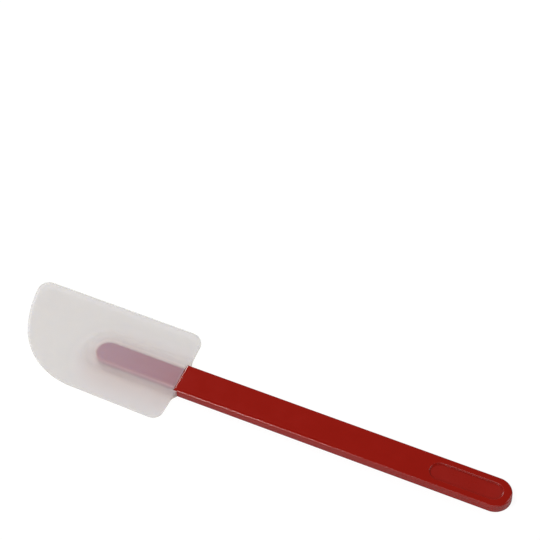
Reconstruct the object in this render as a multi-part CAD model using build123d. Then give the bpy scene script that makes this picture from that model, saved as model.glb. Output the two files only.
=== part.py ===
from build123d import *
import os
from math import asin, atan2, cos, degrees, radians, sin, sqrt

# A kitchen scraper of two mouldings, lying flat on its underside.
# X runs along the handle from the blade's tip to the free end, Y across, Z up.
# The origin is on the handle's flat underside, on its centre line, halfway along the grip.
# All sizes are in millimetres, all angles in degrees.

# Handle: a flat bar that grows thicker towards its round free end.
handle_length = 171.9
handle_width = 16.5
front_thickness = 4.4
end_thickness = 5.4
grip_edge_radius = 0.6
front_corner_radius = 0.9

# Shallow oblong recess in the handle's upper face, near the free end.
recess_length = 36.5
recess_width = 9.4
recess_depth = 0.8
recess_margin = 4.6
recess_floor_radius = 0.4

# Tang: the flat tongue in front of the grip, which the blade is pushed onto.
tang_length = 44.6
tang_width = 12.4
tang_thickness = 2.4
tang_edge_radius = 0.5
tang_root_radius = 0.5

# Blade: outline seen from above. The far side is straight, the near side has the belly.
blade_length = 89.3
far_side = 27.85
near_side = 26.15
near_edge_draft = 1.37
tip_corner_radius = 5.7
tip_lean = 4.64
tip_radius = 68.8
belly_radius = 39.3
near_corner_radius = 5.0
far_corner_radius = 6.6
shoulder_sweep = 0.6

# Blade: its root takes the handle's front end, between two flares that run out onto the handle's sides.
seat_depth = 0.9
flare_reach = 1.2
flare_width = 5.2

# Blade: sections. A thin plate all round, and a boss flush with the handle over the tang.
plate_thickness = 1.3
boss_slope_width = 5.2
boss_lead = 1.0
rim_radius = 0.4

# Fits between the two mouldings.
fit_clearance = 0.05
socket_end_clearance = 0.3

# Overrun of cutting tools past the faces that they cut.
overrun = 1.0

# Places worked out from the sizes above.
front_x = -handle_length / 2
end_x = handle_length / 2
shoulder_x = front_x + seat_depth
tip_x = shoulder_x - blade_length
mid_z = front_thickness / 2
half_width = handle_width / 2
boss_end_x = front_x - tang_length + tang_width / 2 - boss_lead


def polar_point(centre, radius, angle):
    """The point at a radius from a centre, in the direction of an angle."""
    return (centre[0] + radius * cos(radians(angle)), centre[1] + radius * sin(radians(angle)))


def oblong(length, width, depth):
    """A round-ended bar along X, resting on the XY plane and centred there."""
    return extrude(SlotOverall(length, width), depth)


def grip_blank():
    """The bar before its edges are rounded: its plan and its side view, intersected."""
    round_centre_x = end_x - half_width
    plan = Pos((front_x + round_centre_x) / 2, 0) * Rectangle(round_centre_x - front_x, handle_width)
    plan += Pos(round_centre_x, 0) * Circle(half_width)
    profile = ((front_x, 0), (end_x, 0), (end_x, end_thickness), (front_x, front_thickness))
    wedge = extrude(Plane.XZ * Polygon(*profile, align=None), half_width + overrun, both=True)
    return extrude(plan, end_thickness + overrun) & wedge


def recess_tool():
    """The oblong that cuts the recess, laid on the sloping upper face."""
    slope = degrees(atan2(end_thickness - front_thickness, handle_length))
    centre_x = end_x - recess_margin - recess_length / 2
    centre_z = front_thickness + (centre_x - front_x) * (end_thickness - front_thickness) / handle_length
    seat = Pos(centre_x, 0, centre_z) * Rot(0, -slope, 0) * Pos(0, 0, -recess_depth)
    tool = oblong(recess_length, recess_width, recess_depth + overrun)
    floor_edges = tool.faces().sort_by(Axis.Z)[0].edges()
    return seat * fillet(floor_edges, recess_floor_radius)


def tang_blank(growth, length):
    """The round-tipped tongue, with every face moved out by the growth."""
    width = tang_width + 2 * growth
    round_centre_x = front_x - length + width / 2
    root_x = front_x + tang_root_radius + overrun
    plan = Pos((round_centre_x + root_x) / 2, 0) * Rectangle(root_x - round_centre_x, width)
    plan += Pos(round_centre_x, 0) * Circle(width / 2)
    thickness = tang_thickness + 2 * growth
    tongue = Pos(0, 0, mid_z - thickness / 2) * extrude(plan, thickness)
    broad_faces = tongue.faces().filter_by(Axis.Z)
    return fillet(broad_faces.edges().filter_by(lambda edge: edge.center().X < root_x - overrun / 2),
                  tang_edge_radius + growth)


def make_handle():
    """Grip and tang as one moulding."""
    grip = grip_blank()
    grip = fillet(grip.edges().filter_by(Axis.Z).sort_by(Axis.X)[0:2], front_corner_radius)
    broad_faces = grip.faces().sort_by(Axis.Z)
    grip = fillet(broad_faces[0].edges() + broad_faces[-1].edges(), grip_edge_radius)
    handle = grip + tang_blank(0, tang_length)
    front_face = handle.faces().filter_by(Axis.X).sort_by(Axis.X)[0]
    root_edges = front_face.inner_wires().edges()
    handle = fillet(root_edges, tang_root_radius)
    return handle - recess_tool()


def belly_centre(tip_centre, near_corner):
    """Centre of the belly arc, which touches the near edge's line and the tip arc from inside."""
    outward = -90 - near_edge_draft
    foot = polar_point(near_corner, -belly_radius, outward)
    along = polar_point((0, 0), 1, outward + 90)
    apart = (foot[0] - tip_centre[0], foot[1] - tip_centre[1])
    run = apart[0] * along[0] + apart[1] * along[1]
    rise = apart[0] * along[1] - apart[1] * along[0]
    reach = tip_radius - belly_radius
    step = -run - sqrt(reach * reach - rise * rise)
    return (foot[0] + step * along[0], foot[1] + step * along[1])


def blade_outline():
    """The blade seen from above, with the notch that takes the handle's front end."""
    inner_y = half_width + fit_clearance
    notch_x = front_x - fit_clearance
    flare_x = shoulder_x + flare_reach
    flare_y = inner_y + flare_width
    far_corner = (shoulder_x - shoulder_sweep, far_side)
    near_corner = (shoulder_x - shoulder_sweep, -near_side)

    tip_corner_centre = (tip_x + tip_corner_radius, far_side - tip_corner_radius)
    tip_centre = polar_point(tip_corner_centre, tip_radius - tip_corner_radius, tip_lean)
    belly = belly_centre(tip_centre, near_corner)
    tip_start = 180 + tip_lean
    tip_end = 360 + degrees(atan2(belly[1] - tip_centre[1], belly[0] - tip_centre[0]))
    belly_end = 270 - near_edge_draft

    flare_radius = (flare_reach * flare_reach + flare_width * flare_width) / (2 * flare_reach)
    flare_turn = degrees(asin(flare_width / flare_radius))

    with BuildSketch() as plan:
        with BuildLine():
            Line(far_corner, (tip_corner_centre[0], far_side))
            CenterArc(tip_corner_centre, tip_corner_radius, 90, tip_start - 90)
            CenterArc(tip_centre, tip_radius, tip_start, tip_end - tip_start)
            CenterArc(belly, belly_radius, tip_end, belly_end - tip_end)
            Line(polar_point(belly, belly_radius, belly_end), near_corner)
            Line(near_corner, (shoulder_x, -flare_y))
            CenterArc((shoulder_x + flare_radius, -flare_y), flare_radius, 180, -flare_turn)
            Polyline((flare_x, -inner_y), (notch_x, -inner_y), (notch_x, inner_y), (flare_x, inner_y))
            CenterArc((shoulder_x + flare_radius, flare_y), flare_radius, 180 + flare_turn, -flare_turn)
            Line((shoulder_x, flare_y), far_corner)
        make_face()
    sketch = plan.sketch
    sketch = fillet(sketch.vertices().sort_by_distance(near_corner)[0], near_corner_radius)
    return fillet(sketch.vertices().sort_by_distance(far_corner)[0], far_corner_radius)


def half_section(reach):
    """The blade's section from its centre line out to a reach, standing in the YZ plane."""
    boss = front_thickness / 2
    plate = plate_thickness / 2
    foot = half_width + boss_slope_width
    turn_point = ((half_width + foot) / 2, (boss + plate) / 2)
    with BuildSketch(Plane.YZ) as section:
        with BuildLine():
            Line((0, 0), (0, boss))
            Line((0, boss), (half_width, boss))
            TangentArc((half_width, boss), turn_point, tangent=(1, 0))
            TangentArc((foot, plate), turn_point, tangent=(-1, 0))
            Polyline((foot, plate), (reach, plate), (reach, 0), (0, 0))
        make_face()
        mirror(about=Plane.XZ)
    return section.sketch


def blade_blank():
    """The blade's faces without its outline: the section carried along the tang and round its tip."""
    half = half_section(2 * blade_length)
    run = shoulder_x + flare_reach + overrun - boss_end_x
    straight = extrude(half + mirror(half, Plane.XZ), run)
    rounded = revolve(half, Axis.Z, 180)
    return Pos(boss_end_x, 0, mid_z) * (straight + rounded)


def rim_edges(blade):
    """The upper and lower edges of the outline's walls, without those of the handle's notch."""
    notch_y = half_width + fit_clearance
    upright = blade.faces().filter_by(lambda face: round(face.normal_at().Z, 3) == 0)
    walls = upright.filter_by(lambda face: abs(face.center().Y) > notch_y or face.center().X < boss_end_x)
    return walls.edges().filter_by(Axis.Z, reverse=True)


def make_blade():
    """Plate and boss cut to the outline, with rounded rims and the blind socket for the tang."""
    prism = extrude(blade_outline(), front_thickness)
    blade = blade_blank() & prism
    blade = fillet(rim_edges(blade), rim_radius)
    blade -= tang_blank(fit_clearance, tang_length + socket_end_clearance)
    notch_face = blade.faces().filter_by(Axis.X).sort_by_distance((front_x, 0, mid_z))[0]
    return chamfer(notch_face.inner_wires().edges(), tang_root_radius)


def write_parts(parts):
    """One STEP file for each piece."""
    os.makedirs("parts", exist_ok=True)
    for name, solid in parts.items():
        export_step(solid, f"parts/{name}.step")


write_parts({"handle": make_handle(), "blade": make_blade()})
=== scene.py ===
import bmesh
import bpy
import numpy as np
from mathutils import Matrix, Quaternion, Vector


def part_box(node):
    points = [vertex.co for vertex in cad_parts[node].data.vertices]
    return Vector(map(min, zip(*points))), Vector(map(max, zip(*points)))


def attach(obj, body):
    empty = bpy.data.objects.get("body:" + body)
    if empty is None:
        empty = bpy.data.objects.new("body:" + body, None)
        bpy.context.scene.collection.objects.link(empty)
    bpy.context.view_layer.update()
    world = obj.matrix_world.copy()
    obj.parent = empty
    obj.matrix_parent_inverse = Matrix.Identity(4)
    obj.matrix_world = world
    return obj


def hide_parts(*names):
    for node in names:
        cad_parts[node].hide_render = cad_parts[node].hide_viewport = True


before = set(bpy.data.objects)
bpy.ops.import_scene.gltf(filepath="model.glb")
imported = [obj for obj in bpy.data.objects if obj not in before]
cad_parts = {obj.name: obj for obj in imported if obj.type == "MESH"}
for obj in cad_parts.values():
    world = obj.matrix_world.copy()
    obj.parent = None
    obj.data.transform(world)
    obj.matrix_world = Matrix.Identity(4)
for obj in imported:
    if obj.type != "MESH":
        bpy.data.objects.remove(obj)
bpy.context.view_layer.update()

# Handle
# One injection moulding in red plastic: a flat bar with rounded edges, an oblong recess in its upper face,
# and the round-tipped tang that the blade is pushed onto. It is thicker at its free end than at the blade.
# The two halves of its mould meet half-way up its sides and leave a faint line there.

MM = 0.001

tang_length = 44.6 * MM
tang_half_width = 6.2 * MM
tang_half_height = 1.2 * MM
tang_edge_radius = 0.5 * MM
tang_root_radius = 0.35 * MM

front_thickness = 4.4 * MM
end_thickness = 5.4 * MM
edge_radius = 0.6 * MM
front_edge_radius = 0.8 * MM
round_edge_radius = 1.2 * MM
lower_edge_radius = 0.25 * MM
front_corner_radius = 0.9 * MM
side_draft = 0.03 * MM
mould_line_half_width = 0.08 * MM

recess_length = 36.5 * MM
recess_half_width = 4.7 * MM
recess_depth = 0.8 * MM
recess_margin = 4.6 * MM
recess_floor_radius = 0.15 * MM
recess_rim_radius = 0.4 * MM

handle_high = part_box("handle")[1]
end_x = handle_high.x
front_x = -end_x
grip_half_width = handle_high.y
mid_z = front_thickness / 2

corner_steps, side_steps, end_steps = 10, 60, 72
edge_steps = 8
wall_steps_above, wall_steps_below = 5, 6
tang_arc_steps, tang_flat_steps = 5, 14
tang_root_steps, tongue_run_steps, tongue_tip_steps = 5, 30, 24
merge_distance = 0.0005 * MM
flat_face_weight = 80


def arc(centre, radius, start, turn, steps):
    """Points of a circle: centre + radius (cos, sin) of an angle that grows from start by turn, in degrees.
    The last point is left to the stretch that follows. Columns 3 and 4 are the normal on the right of
    the way."""
    angle = np.radians(start + turn * np.arange(steps) / steps)
    normal = np.stack([np.cos(angle), np.sin(angle)], axis=1)
    return np.hstack([np.array(centre) + radius * normal, normal * np.sign(turn)])


def line(start, end, steps):
    """Evenly spaced points from start towards end, start + (end - start) i / steps, without the end itself.
    Columns 3 and 4 are the normal on the right of the way."""
    share = (np.arange(steps) / steps)[:, None]
    run = np.subtract(end, start)
    normal = np.array([run[1], -run[0]]) / np.hypot(*run)
    return np.hstack([np.array(start) + share * run, np.repeat([normal], steps, axis=0)])


def ring(path, inset, height):
    """The path moved inwards, point - inset normal, at a height that is one number or one for each point."""
    plan = path[:, :2] - np.reshape(inset, (-1, 1)) * path[:, 2:]
    return np.column_stack([plan, np.broadcast_to(height, len(path))])


def quarter(steps):
    """Angles from 0 to a quarter turn, both ends among them."""
    return np.linspace(0, np.pi / 2, steps + 1)


def tongue(tip_x, half_width, half_height, edge, mouth, steps):
    """Closed sections of a flat tongue, from its mouth back along X to its round tip, one row each.
    A section is a rectangle with its corners rounded to edge. The mouth gives (growth, x) for the first
    rows. Round the tip, about its centre at x = c, a point (y, z) of the section swings by the angle a:
    its y shrinks to y cos(a), and its x is c - r sin(a), where r is its reach |y|, at least w - e."""
    w, h, e = half_width, half_height, edge
    arcs, flat_w, flat_h = steps
    section = np.roll(np.vstack([
        arc((w - e, h - e), e, 0, 90, 2 * arcs),
        line((w - e, h), (e - w, h), flat_w),
        arc((e - w, h - e), e, 90, 90, 2 * arcs),
        line((-w, h - e), (-w, e - h), flat_h),
        arc((e - w, e - h), e, 180, 90, 2 * arcs),
        line((e - w, -h), (w - e, -h), flat_w),
        arc((w - e, e - h), e, 270, 90, 2 * arcs),
        line((w, e - h), (w, h - e), flat_h),
    ]), -arcs, axis=0)
    rows = [ring(section, -growth, x) for growth, x in mouth]
    tip_centre = tip_x + w
    rows += [ring(section, 0, x) for x in np.linspace(mouth[-1][1], tip_centre, tongue_run_steps)[1:]]
    reach = np.maximum(np.abs(section[:, 0]), w - e)
    for a in quarter(tongue_tip_steps)[1:]:
        tip_x_here = tip_centre - reach * np.sin(a)
        rows.append(np.column_stack([section[:, 0] * np.cos(a), section[:, 1], tip_x_here]))
    return np.array(rows)[:, :, [2, 0, 1]] + [0, 0, mid_z]


def ring_faces(index):
    """Four-cornered faces between the rows of a table of vertex numbers: (i, j), (i, j + 1), (i + 1, j + 1)
    and (i + 1, j), with the last column joined to the first."""
    right = np.roll(index, -1, axis=1)
    return np.stack([index[:-1], right[:-1], right[1:], index[1:]], axis=-1)


def table_edge(index):
    """The vertex numbers round the edge of a table: along its top row, down, back and up again."""
    return np.concatenate([index[0, :-1], index[:-1, -1], index[-1, :0:-1], index[:0:-1, 0]])


def closed_body(name, rings, hole_rows, hole_columns, branch, flip):
    """A closed mesh of rings, with the faces of one block left out and a branch of rings joined to that
    block's edge. Points that coincide are merged, and the faces are turned outwards."""
    rings = np.array(rings)
    index = np.arange(rings.shape[0] * rings.shape[1]).reshape(rings.shape[:2])
    faces = ring_faces(index)
    keep = np.ones(faces.shape[:2], bool)
    keep[hole_rows[0]:hole_rows[1], hole_columns[0]:hole_columns[1]] = False
    hole = index[hole_rows[0]:hole_rows[1] + 1, hole_columns[0]:hole_columns[1] + 1]
    if flip:
        hole = hole[:, ::-1]
    branch_index = index.size + np.arange(branch.shape[0] * branch.shape[1]).reshape(branch.shape[:2])
    branch_faces = ring_faces(np.vstack([table_edge(hole), branch_index]))

    mesh = bpy.data.meshes.new(name)
    points = np.vstack([rings.reshape(-1, 3), branch.reshape(-1, 3)])
    mesh.from_pydata(points, [], np.vstack([faces[keep], branch_faces.reshape(-1, 4)]))
    body = bmesh.new()
    body.from_mesh(mesh)
    bmesh.ops.remove_doubles(body, verts=body.verts, dist=merge_distance)
    bmesh.ops.dissolve_degenerate(body, edges=body.edges, dist=merge_distance)
    bmesh.ops.recalc_face_normals(body, faces=body.faces)
    body.to_mesh(mesh)
    body.free()
    mesh.polygons.foreach_set("use_smooth", np.ones(len(mesh.polygons), bool))
    piece = bpy.data.objects.new(name, mesh)
    bpy.context.scene.collection.objects.link(piece)
    piece.modifiers.new("flat_faces_stay_flat", "WEIGHTED_NORMAL").weight = flat_face_weight
    return piece


def under_top(path, inset, drop):
    """A ring below the sloping upper face: z = front thickness + slope (x - front) - drop."""
    x = path[:, 0] - inset * path[:, 2]
    slope = (end_thickness - front_thickness) / (end_x - front_x)
    return ring(path, inset, front_thickness + (x - front_x) * slope - drop)


tang_columns = 2 * tang_arc_steps + tang_flat_steps
corner_x = front_x + front_corner_radius
corner_y = grip_half_width - front_corner_radius
round_x = end_x - grip_half_width
root_y = tang_half_width + 2 * tang_root_radius
grip_outline = np.vstack([
    arc((corner_x, -corner_y), front_corner_radius, 180, 90, corner_steps),
    line((corner_x, -grip_half_width), (round_x, -grip_half_width), side_steps),
    arc((round_x, 0), grip_half_width, -90, 180, end_steps),
    line((round_x, grip_half_width), (corner_x, grip_half_width), side_steps),
    arc((corner_x, corner_y), front_corner_radius, 90, 90, corner_steps),
    line((front_x, corner_y), (front_x, root_y), 1),
    line((front_x, root_y), (front_x, -root_y), tang_columns),
    line((front_x, -root_y), (front_x, -corner_y), 1),
])

# The recess's outline is divided like the grip's, point for point. Its round end towards the blade stands
# in for the grip's front corners and front edge, and the front edge gets the half turn to each side.
recess_right_x = end_x - recess_margin - recess_half_width
recess_left_x = end_x - recess_margin - recess_length + recess_half_width
half_turn = 40
recess_outline = np.vstack([
    arc((recess_left_x, 0), recess_half_width, 180 + half_turn, 90 - half_turn, corner_steps),
    line((recess_left_x, -recess_half_width), (recess_right_x, -recess_half_width), side_steps),
    arc((recess_right_x, 0), recess_half_width, -90, 180, end_steps),
    line((recess_right_x, recess_half_width), (recess_left_x, recess_half_width), side_steps),
    arc((recess_left_x, 0), recess_half_width, 90, 90 - half_turn, corner_steps),
    arc((recess_left_x, 0), recess_half_width, 180 - half_turn, 2 * half_turn, tang_columns + 2),
])

# The rings run out from the recess's middle, over its floor, up its wall and over its rim. They go on over
# the upper face and its edge, which is rounder at both ends, down the side past the mould line, and in
# under the grip to its spine.
grip_rings = [under_top(recess_outline, recess_half_width, recess_depth)]
for a in quarter(edge_steps):
    drop = recess_depth - recess_floor_radius * (1 - np.cos(a))
    grip_rings.append(under_top(recess_outline, recess_floor_radius * (1 - np.sin(a)), drop))
for a in quarter(edge_steps):
    drop = recess_rim_radius * (1 - np.sin(a))
    grip_rings.append(under_top(recess_outline, -recess_rim_radius * (1 - np.cos(a)), drop))
upper_radius = np.interp(grip_outline[:, 0], [front_x, corner_x, round_x, end_x],
                         [front_edge_radius, edge_radius, edge_radius, round_edge_radius])
for a in quarter(edge_steps):
    inset = side_draft + upper_radius * (1 - np.sin(a))
    grip_rings.append(under_top(grip_outline, inset, upper_radius * (1 - np.cos(a))))
wall_row = len(grip_rings) - 1
wall_top = grip_rings[-1][:, 2]
line_top = mid_z + 2 * mould_line_half_width
for share in np.arange(1, wall_steps_above + 1) / wall_steps_above:
    grip_rings.append(ring(grip_outline, side_draft, wall_top + share * (line_top - wall_top)))
grip_rings.append(ring(grip_outline, 0, mid_z + mould_line_half_width))
grip_rings.append(ring(grip_outline, 0, mid_z - mould_line_half_width))
for height in np.linspace(mid_z - 2 * mould_line_half_width, lower_edge_radius, wall_steps_below + 1):
    grip_rings.append(ring(grip_outline, side_draft, height))
wall_end_row = len(grip_rings) - 1
for a in quarter(edge_steps)[1:]:
    inset = side_draft + lower_edge_radius * (1 - np.cos(a))
    grip_rings.append(ring(grip_outline, inset, lower_edge_radius * (1 - np.sin(a))))
spine_x = np.clip(grip_outline[:, 0], front_x + grip_half_width, round_x)
grip_rings.append(np.column_stack([spine_x, 0 * spine_x, 0 * spine_x]))

tang_root = [(tang_root_radius * (1 - np.sin(a)), front_x - tang_root_radius * (1 - np.cos(a)))
             for a in quarter(tang_root_steps)]
tang_steps = (tang_arc_steps, tang_flat_steps, wall_end_row - wall_row - 2 * tang_arc_steps)
tang = tongue(front_x - tang_length, tang_half_width, tang_half_height, tang_edge_radius, tang_root,
              tang_steps)
tang_column = len(grip_outline) - 1 - tang_columns
handle = closed_body("red_handle", grip_rings, (wall_row, wall_end_row),
                     (tang_column, tang_column + tang_columns), tang, flip=False)


def linear(hex_colour):
    """The linear colour of an sRGB hex value: v / 12.92 up to 0.04045, ((v + 0.055) / 1.055) ^ 2.4 above."""
    values = np.array([int(hex_colour[i:i + 2], 16) for i in (0, 2, 4)]) / 255
    curve = np.where(values <= 0.04045, values / 12.92, ((values + 0.055) / 1.055) ** 2.4)
    return (*curve, 1.0)


def add(material, kind, inputs, **settings):
    """Adds a shader node with its settings. An input given as a socket is linked, any other is set."""
    node = material.node_tree.nodes.new("ShaderNode" + kind)
    for name, value in settings.items():
        setattr(node, name, value)
    for name, value in inputs.items():
        if isinstance(value, bpy.types.NodeSocket):
            material.node_tree.links.new(value, node.inputs[name])
        else:
            node.inputs[name].default_value = value
    return node


def new_material(name):
    """An empty node material."""
    material = bpy.data.materials.new(name)
    material.use_nodes = True
    material.node_tree.nodes.clear()
    return material


# Glossy injection-moulded plastic, coloured right through. The tool was polished, so the faces mirror
# softly, but they shrink a little unevenly as they cool, and use has left fine hairlines and dull spots.
# The grain and the hairlines are drawn coarser than they are, so that they can show at all.
red_shade, red_lighter_shade = "871207", "8f1207"
red_ior, red_gloss_level = 1.49, 0.4
polished_roughness, duller_roughness = 0.13, 0.18
recess_dullness, hairline_dullness = 0.14, 0.05
patch_size, patch_low, patch_high = 9 * MM, 0.3, 0.7
wave_size, wave_depth = 22 * MM, 0.08 * MM
grain_size, grain_depth = 0.35 * MM, 0.004 * MM
hairline_size, hairline_depth = 0.5 * MM, 0.002 * MM
hairline_stretch, hairline_turn = (0.03, 1.0, 1.0), (0, 0, 0.2)
hairline_low, hairline_high = 0.62, 0.78
bump_strength = 0.5

red_plastic = new_material("moulded_red_plastic")
place_on_object = add(red_plastic, "TexCoord", {}).outputs["Object"]
patches = add(red_plastic, "TexNoise", {"Vector": place_on_object, "Scale": 1 / patch_size, "Detail": 3.0})
red_shades = add(red_plastic, "MixRGB", {"Fac": patches.outputs["Fac"], "Color1": linear(red_shade),
                                          "Color2": linear(red_lighter_shade)})
roughness = add(red_plastic, "MapRange", {"Value": patches.outputs["Fac"], "From Min": patch_low,
                                          "From Max": patch_high, "To Min": polished_roughness,
                                          "To Max": duller_roughness})
along_grip = add(red_plastic, "Mapping", {"Vector": place_on_object, "Scale": hairline_stretch,
                                          "Rotation": hairline_turn})
streaks = add(red_plastic, "TexNoise", {"Vector": along_grip.outputs["Vector"], "Scale": 1 / hairline_size,
                                        "Detail": 2.0})
hairlines = add(red_plastic, "MapRange", {"Value": streaks.outputs["Fac"], "From Min": hairline_low,
                                          "From Max": hairline_high})
scuffed = add(red_plastic, "Math", {0: hairlines.outputs["Result"], 1: hairline_dullness,
                                    2: roughness.outputs["Result"]}, operation="MULTIPLY_ADD")
on_handle = add(red_plastic, "SeparateXYZ", {0: place_on_object})
past_middle = add(red_plastic, "Math", {0: on_handle.outputs["X"], 1: (recess_left_x + recess_right_x) / 2},
                  operation="SUBTRACT")
from_middle = add(red_plastic, "Math", {0: past_middle.outputs["Value"]}, operation="ABSOLUTE")
past_round = add(red_plastic, "Math", {0: from_middle.outputs["Value"],
                                       1: (recess_right_x - recess_left_x) / 2}, operation="SUBTRACT")
past_round_only = add(red_plastic, "Math", {0: past_round.outputs["Value"], 1: 0.0}, operation="MAXIMUM")
from_spine = add(red_plastic, "CombineXYZ", {"X": past_round_only.outputs["Value"],
                                             "Y": on_handle.outputs["Y"]})
spine_reach = add(red_plastic, "VectorMath", {0: from_spine.outputs["Vector"]}, operation="LENGTH")
inside_recess = add(red_plastic, "MapRange", {"Value": spine_reach.outputs["Value"],
                                              "From Min": recess_half_width + recess_rim_radius,
                                              "From Max": recess_half_width + 2 * recess_rim_radius,
                                              "To Min": 1.0, "To Max": 0.0})
finish = add(red_plastic, "Math", {0: inside_recess.outputs["Result"], 1: recess_dullness,
                                   2: scuffed.outputs["Value"]}, operation="MULTIPLY_ADD")
waves = add(red_plastic, "TexNoise", {"Vector": place_on_object, "Scale": 1 / wave_size, "Detail": 1.0})
wavy = add(red_plastic, "Bump", {"Height": waves.outputs["Fac"], "Distance": wave_depth,
                                 "Strength": bump_strength})
grain = add(red_plastic, "TexNoise", {"Vector": place_on_object, "Scale": 1 / grain_size, "Detail": 2.0})
grained = add(red_plastic, "Bump", {"Height": grain.outputs["Fac"], "Distance": grain_depth,
                                    "Strength": bump_strength, "Normal": wavy.outputs["Normal"]})
scratched = add(red_plastic, "Bump", {"Height": hairlines.outputs["Result"], "Distance": hairline_depth,
                                      "Strength": bump_strength, "Normal": grained.outputs["Normal"]},
                invert=True)
red_shader = add(red_plastic, "BsdfPrincipled", {"Base Color": red_shades.outputs["Color"],
                                                 "Roughness": finish.outputs["Value"], "IOR": red_ior,
                                                 "Specular IOR Level": red_gloss_level,
                                                 "Normal": scratched.outputs["Normal"]})
add(red_plastic, "OutputMaterial", {"Surface": red_shader.outputs["BSDF"]})
handle.data.materials.append(red_plastic)
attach(handle, "handle")
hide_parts("handle")

# Blade
# One moulding in soft milky silicone: a thin plate with a straight far side, a round near side and tip,
# a thicker boss along the middle, level with the handle, and the blind socket in it that grips the tang.
# Its root takes the handle's front end between two thin flares. A faint flash line runs round its rim.

seat_depth = 0.9 * MM
flare_reach = 1.2 * MM
flare_width = 5.2 * MM
fit_clearance = 0.05 * MM
socket_end_clearance = 0.3 * MM
socket_chamfer = 0.5 * MM

blade_length = 89.3 * MM
near_side = 26.15 * MM
near_edge_draft = 1.37
tip_corner_radius = 5.7 * MM
tip_lean = 4.64
tip_radius = 68.8 * MM
belly_radius = 39.3 * MM
near_corner_radius = 5.0 * MM
far_corner_radius = 6.6 * MM
shoulder_sweep = 0.6 * MM

plate_half_thickness = 0.65 * MM
boss_slope_width = 5.2 * MM
boss_lead = 1.0 * MM
rim_radius = 0.4 * MM
rim_draft = 0.03 * MM

far_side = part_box("blade")[1].y
shoulder_x = front_x + seat_depth
tip_x = shoulder_x - blade_length
notch_x = front_x - fit_clearance
notch_y = grip_half_width + fit_clearance
boss_end_x = front_x - tang_length + tang_half_width - boss_lead

rim_steps, plate_steps, slope_steps, boss_steps = 6, 12, 14, 6
far_steps, tip_corner_steps, tip_steps, belly_steps = 40, 16, 30, 50
rear_side_steps, rear_corner_steps, shoulder_steps, flare_steps, notch_steps = 30, 14, 8, 14, 4
socket_arc_steps, socket_flat_steps = 4, 14
rim_fade_steps = 4
rim_wall_shares = (0.06, 0.17, 0.28, 0.39, 0.44, 0.48, 0.52, 0.56, 0.61, 0.72, 0.83, 0.94)
flash_line_share = 0.03


def polar(centre, radius, angle):
    """The point at a radius from a centre, in the direction of an angle in degrees."""
    return np.array(centre) + radius * np.array([np.cos(np.radians(angle)), np.sin(np.radians(angle))])


def corner_arc(before, corner, after, radius, steps):
    """The arc that rounds a corner: it touches both lines at radius times tan(turn / 2) from the corner.
    The way turns left there. Also gives the two points where it touches."""
    way_in = np.subtract(corner, before) / np.hypot(*np.subtract(corner, before))
    way_out = np.subtract(after, corner) / np.hypot(*np.subtract(after, corner))
    turn = np.arccos(way_in @ way_out)
    touch = radius * np.tan(turn / 2)
    start, end = corner - touch * way_in, corner + touch * way_out
    centre = start + radius * np.array([-way_in[1], way_in[0]])
    angle = np.degrees(np.arctan2(*(start - centre)[::-1]))
    return arc(centre, radius, angle, np.degrees(turn), steps), start, end


# The outline seen from above. The tip's arc, the belly's arc and the near side's line touch each other, so
# the belly's centre lies at its own radius from that line, and at the difference of the two radii from the
# tip's centre.
far_corner = np.array([shoulder_x - shoulder_sweep, far_side])
near_corner = np.array([shoulder_x - shoulder_sweep, -near_side])
flare_x, flare_y = shoulder_x + flare_reach, notch_y + flare_width
flare_radius = (flare_reach ** 2 + flare_width ** 2) / (2 * flare_reach)
flare_turn = np.degrees(np.arcsin(flare_width / flare_radius))

tip_corner_centre = np.array([tip_x + tip_corner_radius, far_side - tip_corner_radius])
tip_centre = polar(tip_corner_centre, tip_radius - tip_corner_radius, tip_lean)
near_angle = 270 - near_edge_draft
belly_foot = polar(near_corner, belly_radius, near_angle - 180)
along = polar((0, 0), 1, near_angle + 90)
apart = belly_foot - tip_centre
run, rise = apart @ along, apart[0] * along[1] - apart[1] * along[0]
belly_centre = belly_foot - (run + np.sqrt((tip_radius - belly_radius) ** 2 - rise ** 2)) * along
belly_angle = 360 + np.degrees(np.arctan2(*(belly_centre - tip_centre)[::-1]))
belly_end = polar(belly_centre, belly_radius, near_angle)
near_at_boss = belly_end + (boss_end_x - belly_end[0]) * along / along[0]
near_arc, near_start, near_stop = corner_arc(
    belly_end, near_corner, (shoulder_x, -flare_y), near_corner_radius, rear_corner_steps)
far_arc, far_start, far_stop = corner_arc(
    (shoulder_x, flare_y), far_corner, (tip_x, far_side), far_corner_radius, rear_corner_steps)
mouth_y = tang_half_width + 2 * socket_chamfer
socket_columns = 2 * socket_arc_steps + socket_flat_steps
blade_outline = np.vstack([
    line((boss_end_x, far_side), (tip_corner_centre[0], far_side), far_steps),
    arc(tip_corner_centre, tip_corner_radius, 90, 90 + tip_lean, tip_corner_steps),
    arc(tip_centre, tip_radius, 180 + tip_lean, belly_angle - 180 - tip_lean, tip_steps),
    arc(belly_centre, belly_radius, belly_angle, near_angle - belly_angle, belly_steps),
    line(belly_end, near_at_boss, boss_steps),
    line(near_at_boss, near_start, rear_side_steps),
    near_arc,
    line(near_stop, (shoulder_x, -flare_y), shoulder_steps),
    arc((shoulder_x + flare_radius, -flare_y), flare_radius, 180, -flare_turn, flare_steps),
    line((flare_x, -notch_y), (notch_x, -notch_y), notch_steps),
    line((notch_x, -notch_y), (notch_x, -mouth_y), 1),
    line((notch_x, -mouth_y), (notch_x, mouth_y), socket_columns),
    line((notch_x, mouth_y), (notch_x, notch_y), 1),
    line((notch_x, notch_y), (flare_x, notch_y), notch_steps),
    arc((shoulder_x + flare_radius, flare_y), flare_radius, 180 + flare_turn, -flare_turn, flare_steps),
    line((shoulder_x, flare_y), far_start, shoulder_steps),
    far_arc,
    line(far_stop, (boss_end_x, far_side), rear_side_steps),
])

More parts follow.
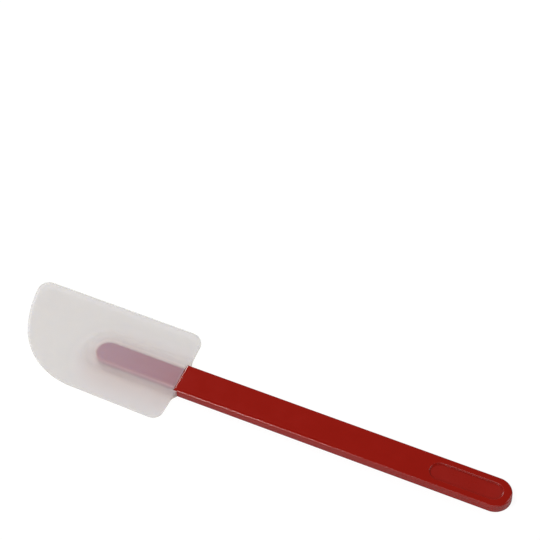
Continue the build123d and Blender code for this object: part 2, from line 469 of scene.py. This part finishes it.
# The rings run in from the outline to the boss's foot, to its crest, and to the middle of its top. Behind
# the tang's tip they bend forward to clear the notch, by these places counted from the side line's start to
# the notch's middle: rear corner, start of the flare, its tip, corner of the notch. A setback is how far in
# front of the notch the ring lies at such a place.
rear_breaks = np.cumsum([0, rear_side_steps, rear_corner_steps + shoulder_steps, flare_steps, notch_steps,
                         1 + socket_columns // 2])
rear_count = rear_breaks[-1]
boss_foot_y = grip_half_width + boss_slope_width
foot_setbacks = np.array([10, 2.5, 2, 2, 2]) * MM
crest_setbacks = np.array([12, 5, 4, 4, 4]) * MM
ridge_setbacks = np.array([14, 9, 8, 7, 6]) * MM
foot_flare_y = notch_y + 2.3 * MM
crest_flare_y = notch_y - 0.7 * MM
crest_notch_y = notch_y - 2 * MM
foot_x = [boss_end_x, *(notch_x - foot_setbacks)]
foot_y = [boss_foot_y, boss_foot_y, boss_foot_y, foot_flare_y, notch_y, 0]
crest_x = [boss_end_x, *(notch_x - crest_setbacks)]
crest_y = [grip_half_width, grip_half_width, grip_half_width, crest_flare_y, crest_notch_y, 0]
ridge_x = [boss_end_x, *(notch_x - ridge_setbacks)]
ridge_y = np.zeros(len(ridge_x))
place = np.arange(len(blade_outline)) - (len(blade_outline) - 2 * rear_count)
place = np.minimum(place, 2 * rear_count - place)
is_rear = place >= 0


def rail(x_table, y_table, reach):
    """One point for each column: by the tables behind the tang's tip, and elsewhere at the reach from the
    boss's end towards the outline."""
    away = blade_outline[:, :2] - [boss_end_x, 0]
    towards = away / np.hypot(*away.T)[:, None]
    front = np.array([boss_end_x, 0]) + reach * towards
    rear = np.column_stack([np.interp(place, rear_breaks, x_table),
                            np.sign(blade_outline[:, 1]) * np.interp(place, rear_breaks, y_table)])
    return np.where(is_rear[:, None], rear, front)


def boss_height(plan):
    """Half the blade's thickness: level over the boss, then down to the plate by two equal arcs that touch.
    With d the distance from the boss's edge, the first arc drops by R - sqrt(R^2 - d^2)."""
    fall = front_thickness / 2 - plate_half_thickness
    radius = (boss_slope_width ** 2 + fall ** 2) / (4 * fall)
    ahead = np.minimum(plan[:, 0] - boss_end_x, 0)
    d = np.clip(np.hypot(ahead, plan[:, 1]) - grip_half_width, 0, boss_slope_width)
    near_half = np.minimum(d, boss_slope_width - d)
    drop = radius - np.sqrt(radius ** 2 - near_half ** 2)
    return front_thickness / 2 - np.where(d < boss_slope_width / 2, drop, fall - drop)


# The rim's rounding fades out along the flare, and the notch's wall has none.
rim_share = np.clip((rear_breaks[3] - 1 - place) / rim_fade_steps, 0, 1)
inset = rim_draft * rim_share
stops = [(ring(blade_outline, inset + rim_radius * rim_share, 0)[:, :2], plate_steps),
         (rail(foot_x, foot_y, boss_foot_y), slope_steps),
         (rail(crest_x, crest_y, grip_half_width), boss_steps),
         (rail(ridge_x, ridge_y, 0), 1)]
plans = []
for (outer, steps), (inner, _) in zip(stops, stops[1:]):
    plans += [outer + share * (inner - outer) for share in np.arange(steps) / steps]
plans.append(stops[-1][0])

upper = [np.column_stack([plan, mid_z + boss_height(plan)]) for plan in reversed(plans)]
shoulder_height = boss_height(plans[0])
for a in quarter(rim_steps)[1:]:
    drop = rim_radius * rim_share * (1 - np.cos(a))
    upper.append(ring(blade_outline, inset + rim_radius * rim_share * (1 - np.sin(a)),
                      mid_z + shoulder_height - drop))
lower = [rows * [1, 1, -1] + [0, 0, 2 * mid_z] for rows in reversed(upper)]
wall_row = len(upper)
wall_height = shoulder_height - rim_radius * rim_share
middle = []
for share in rim_wall_shares:
    on_line = abs(share - 0.5) < flash_line_share
    middle.append(ring(blade_outline, 0 if on_line else inset, mid_z + (1 - 2 * share) * wall_height))

mouth = [(socket_chamfer, notch_x), (0, notch_x - socket_chamfer)]
socket_steps = (socket_arc_steps, socket_flat_steps, len(rim_wall_shares) - 1 - 2 * socket_arc_steps)
socket = tongue(front_x - tang_length - socket_end_clearance, tang_half_width + fit_clearance,
                tang_half_height + fit_clearance, tang_edge_radius + fit_clearance, mouth, socket_steps)
socket_column = len(blade_outline) - rear_count - socket_columns // 2
blade = closed_body("silicone_blade", upper + middle + lower, (wall_row, wall_row + len(middle) - 1),
                    (socket_column, socket_column + socket_columns), socket, flip=True)

# Milky silicone rubber with a satin skin. What lies behind shows through, paler: each skin lets most of
# the light straight through, a little more of it towards the tang's root, which paints a brighter sheen
# on the skin towards the tip, and less where the boss is thick. Beside the tang, on its near side most,
# the milk is painted duller and warmer: painted shade of the tang and its red bounce. A soft veil lies
# over the tang's edge, with the tang's red light painted into it. Light spreads inside and leaves by the
# broad faces, so slopes hardly stand out. The lip that meets the handle is seen edge-on, and is whiter.
clear_at_tang_tip = 0.80
clear_at_tang_root = 0.855
clear_in_plate = 0.80
clear_in_boss = 0.69
clear_at_lip = 0.55
# The second milk colour is painted shade: the tang's shadow and its red bounce beside it.
plain_milk, boss_milk_and_painted_shade, painted_red_light_milk, clear_tint = "e4e2f8", "dfd0d9", "dccad2", "fffef7"
tang_blur = 0.8 * MM
veil_width, veil_depth = 1.6 * MM, 0.09
painted_shade_reach, painted_shade_lean, painted_shade_back = 23 * MM, 4 * MM, 5 * MM
lip_width = 0.25 * MM
broad_face_pull = 12.0
skin_size, skin_depth = 0.5 * MM, 0.01 * MM
silicone_ior, silicone_roughness, silicone_gloss_level = 1.41, 0.6, 0.15
light_spread, spread_by_colour = 1.2 * MM, (1.0, 0.9, 0.8)
tang_round_x = front_x - tang_length + tang_half_width

silicone = new_material("milky_silicone")
place_on_object = add(silicone, "TexCoord", {}).outputs["Object"]
on_blade = add(silicone, "SeparateXYZ", {0: place_on_object})
ahead = add(silicone, "Math", {0: on_blade.outputs["X"], 1: tang_round_x}, operation="SUBTRACT")
ahead_only = add(silicone, "Math", {0: ahead.outputs["Value"], 1: 0.0}, operation="MINIMUM")
off_middle = add(silicone, "CombineXYZ", {"X": ahead_only.outputs["Value"], "Y": on_blade.outputs["Y"]})
reach = add(silicone, "VectorMath", {0: off_middle.outputs["Vector"]}, operation="LENGTH").outputs["Value"]
beside_tang = add(silicone, "MapRange", {"Value": reach, "From Min": tang_half_width - tang_blur,
                                         "From Max": tang_half_width + tang_blur},
                  interpolation_type="SMOOTHSTEP")

# Painted shade: a patch round the tang that leans towards its near side, where the tang's shadow falls, and
# fades out by its reach. It makes the milk duller and warmer there, and less clear where the boss is thick.
leaning_y = add(silicone, "Math", {0: on_blade.outputs["Y"], 1: painted_shade_lean}, operation="ADD")
ahead_of_painted_shade = add(silicone, "Math", {0: ahead.outputs["Value"], 1: painted_shade_back}, operation="SUBTRACT")
leaning_x = add(silicone, "Math", {0: ahead_of_painted_shade.outputs["Value"], 1: 0.0}, operation="MINIMUM")
off_painted_shade = add(silicone, "CombineXYZ", {"X": leaning_x.outputs["Value"], "Y": leaning_y.outputs["Value"]})
painted_shade_distance = add(silicone, "VectorMath", {0: off_painted_shade.outputs["Vector"]}, operation="LENGTH")
painted_shade_fade = add(silicone, "MapRange", {"Value": painted_shade_distance.outputs["Value"], "From Min": tang_half_width,
                                       "From Max": painted_shade_reach, "To Min": 1.0, "To Max": 0.0})
boss_and_painted_shade = add(silicone, "Math", {0: beside_tang.outputs["Result"], 1: painted_shade_fade.outputs["Result"]},
            operation="MULTIPLY")

# Painted sheen: the skins are milkier towards the tang's tip, so the skin looks brighter there.
along_tang = add(silicone, "MapRange", {"Value": on_blade.outputs["X"], "From Min": front_x - tang_length,
                                        "From Max": front_x, "To Min": clear_at_tang_tip,
                                        "To Max": clear_at_tang_root})
over_tang = add(silicone, "MapRange", {"Value": beside_tang.outputs["Result"],
                                       "To Min": along_tang.outputs["Result"], "To Max": clear_in_plate})
in_boss = add(silicone, "Math", {0: boss_and_painted_shade.outputs["Value"], 1: clear_in_boss - clear_in_plate,
                                 2: over_tang.outputs["Result"]}, operation="MULTIPLY_ADD")
# The veil is painted light: the tang's red light spreading into the milk along its edge. It also makes the
# milk less clear there.
past_edge = add(silicone, "Math", {0: reach, 1: tang_half_width}, operation="SUBTRACT")
from_edge = add(silicone, "Math", {0: past_edge.outputs["Value"]}, operation="ABSOLUTE")
veil = add(silicone, "MapRange", {"Value": from_edge.outputs["Value"], "From Max": veil_width,
                                  "To Min": 1.0, "To Max": 0.0}, interpolation_type="SMOOTHSTEP")
veiled = add(silicone, "Math", {0: veil.outputs["Result"], 1: -veil_depth, 2: in_boss.outputs["Value"]},
             operation="MULTIPLY_ADD")
near_notch = add(silicone, "MapRange", {"Value": on_blade.outputs["X"], "From Min": notch_x - lip_width,
                                        "From Max": notch_x})
off_middle_line = add(silicone, "Math", {0: on_blade.outputs["Y"]}, operation="ABSOLUTE")
in_notch = add(silicone, "Math", {0: off_middle_line.outputs["Value"], 1: notch_y}, operation="LESS_THAN")
lip = add(silicone, "Math", {0: near_notch.outputs["Result"], 1: in_notch.outputs["Value"]},
          operation="MULTIPLY")
clarity = add(silicone, "MapRange", {"Value": lip.outputs["Value"], "To Min": veiled.outputs["Value"],
                                     "To Max": clear_at_lip})

# The painted shade and red bounce of the tang, mixed into the milk's colour.
milk_with_painted_shade = add(silicone, "MixRGB", {"Fac": boss_and_painted_shade.outputs["Value"], "Color1": linear(plain_milk),
                                        "Color2": linear(boss_milk_and_painted_shade)})
# The painted red light of the tang along its edge, mixed into the milk's colour.
milk_colour = add(silicone, "MixRGB", {"Fac": veil.outputs["Result"],
                                       "Color1": milk_with_painted_shade.outputs["Color"],
                                       "Color2": linear(painted_red_light_milk)})
skin = add(silicone, "TexNoise", {"Vector": place_on_object, "Scale": 1 / skin_size, "Detail": 2.0})
surface = add(silicone, "NewGeometry", {})
broad_face = add(silicone, "VectorMath", {0: surface.outputs["Normal"], 1: (1.0, 1.0, broad_face_pull)},
                 operation="MULTIPLY")
leaving = add(silicone, "VectorMath", {0: broad_face.outputs["Vector"]}, operation="NORMALIZE")
skin_bump = add(silicone, "Bump", {"Height": skin.outputs["Fac"], "Distance": skin_depth,
                                   "Strength": bump_strength, "Normal": leaving.outputs["Vector"]})
milk = add(silicone, "BsdfPrincipled", {"Base Color": milk_colour.outputs["Color"],
                                        "Roughness": silicone_roughness, "IOR": silicone_ior,
                                        "Specular IOR Level": silicone_gloss_level,
                                        "Subsurface Weight": 1.0, "Subsurface Scale": light_spread,
                                        "Subsurface Radius": spread_by_colour,
                                        "Normal": skin_bump.outputs["Normal"]})
inner_milk = add(silicone, "BsdfDiffuse", {"Color": milk_colour.outputs["Color"],
                                           "Normal": leaving.outputs["Vector"]})
milk_by_side = add(silicone, "MixShader", {"Fac": surface.outputs["Backfacing"], 1: milk.outputs["BSDF"],
                                           2: inner_milk.outputs["BSDF"]})
clear = add(silicone, "BsdfTransparent", {"Color": linear(clear_tint)})
cloudy = add(silicone, "MixShader", {"Fac": clarity.outputs["Result"], 1: milk_by_side.outputs["Shader"],
                                     2: clear.outputs["BSDF"]})
add(silicone, "OutputMaterial", {"Surface": cloudy.outputs["Shader"]})
blade.data.materials.append(silicone)
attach(blade, "blade")
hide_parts("blade")

# Camera and studio
# The object lies on a plain white sheet, seen from above its near side with a long lens. Of the four soft
# boxes the two narrow ones draw bright lines on the handle's edges, and the two broad ones light the rest.

look_at = Vector((shoulder_x + 10.47 * MM, 81.13 * MM, 0))
camera_distance = 1403.56 * MM
camera_azimuth, camera_elevation = 24.13, 51.91
lens, sensor = 186.67, 36.0

turn, tilt = np.radians(camera_azimuth), np.radians(camera_elevation)
towards_camera = Vector((np.cos(tilt) * np.sin(turn), -np.cos(tilt) * np.cos(turn), np.sin(tilt)))
camera = bpy.data.objects.new("camera", bpy.data.cameras.new("camera"))
camera.data.lens, camera.data.sensor_width = lens, sensor
camera.data.clip_start, camera.data.clip_end = 0.05, 20.0
camera.location = look_at + camera_distance * towards_camera
camera.rotation_mode = "QUATERNION"
camera.rotation_quaternion = towards_camera.to_track_quat("Z", "Y")
bpy.context.scene.collection.objects.link(camera)
bpy.context.scene.camera = camera
bpy.context.scene.view_settings.view_transform = "Standard"

# The sheet is matt paper, light grey in this light. Where the camera looks straight at it, most of it is
# an even white glow, so that it looks white and the object's shadow stays faint. Where it lies behind the
# silicone it keeps its own tone.
paper_tone = "dddddd"
glow_share, glow_strength = 0.85, 1.08
floor_reach, floor_drop = 0.65, 0.05 * MM

paper = new_material("studio_sheet")
path = add(paper, "LightPath", {})
nothing_between = add(paper, "Math", {0: path.outputs["Transparent Depth"], 1: 0.5}, operation="LESS_THAN")
seen_directly = add(paper, "Math", {0: path.outputs["Is Camera Ray"], 1: nothing_between.outputs["Value"]},
                    operation="MULTIPLY")
glowing = add(paper, "Math", {0: seen_directly.outputs["Value"], 1: glow_share}, operation="MULTIPLY")
matt_sheet = add(paper, "BsdfDiffuse", {"Color": linear(paper_tone)})
glow = add(paper, "Emission", {"Strength": glow_strength})
lit_sheet = add(paper, "MixShader", {"Fac": glowing.outputs["Value"], 1: matt_sheet.outputs["BSDF"],
                                     2: glow.outputs["Emission"]})
add(paper, "OutputMaterial", {"Surface": lit_sheet.outputs["Shader"]})
floor_mesh = bpy.data.meshes.new("floor")
floor_corners = [(-floor_reach, -floor_reach, -floor_drop), (floor_reach, -floor_reach, -floor_drop),
                 (floor_reach, floor_reach, -floor_drop), (-floor_reach, floor_reach, -floor_drop)]
floor_mesh.from_pydata(floor_corners, [], [(0, 1, 2, 3)])
floor_mesh.materials.append(paper)
floor = bpy.data.objects.new("floor", floor_mesh)
bpy.context.scene.collection.objects.link(floor)

# The room fills the shadows a little, and is white to the camera.
fill_strength, backdrop_strength = 0.1, 1.0
world = bpy.data.worlds.new("white_studio")
world.use_nodes = True
bpy.context.scene.world = world
world.node_tree.nodes.clear()
camera_ray = add(world, "LightPath", {}).outputs["Is Camera Ray"]
world_strength = add(world, "MapRange", {"Value": camera_ray, "To Min": fill_strength,
                                         "To Max": backdrop_strength})
backdrop = add(world, "Background", {"Color": linear("ffffff"),
                                     "Strength": world_strength.outputs["Result"]})
add(world, "OutputWorld", {"Surface": backdrop.outputs["Background"]})


def soft_box(name, place, width, height, power, roll):
    """A rectangular lamp that faces the origin, level along its width before a roll in degrees."""
    lamp = bpy.data.objects.new(name, bpy.data.lights.new(name, "AREA"))
    lamp.data.shape, lamp.data.size, lamp.data.size_y = "RECTANGLE", width, height
    lamp.data.energy = power
    lamp.location = place
    lamp.rotation_mode = "QUATERNION"
    facing = Vector(place).to_track_quat("Z", "Y")
    lamp.rotation_quaternion = facing @ Quaternion((0, 0, 1), np.radians(roll))
    lamp.visible_camera = False
    bpy.context.scene.collection.objects.link(lamp)


soft_box("key_box", (-0.48, -0.62, 1.29), 0.11, 0.42, 10.7, 0)
soft_box("low_front_box", (0.15, -1.3, 0.6), 2.2, 1.0, 11.6, 0)
soft_box("left_strip", (-0.9, 0.79, 0.8), 0.16, 0.46, 8.8, 30)
soft_box("right_box", (1.12, 0.58, 0.62), 0.8, 1.1, 7.2, 0)
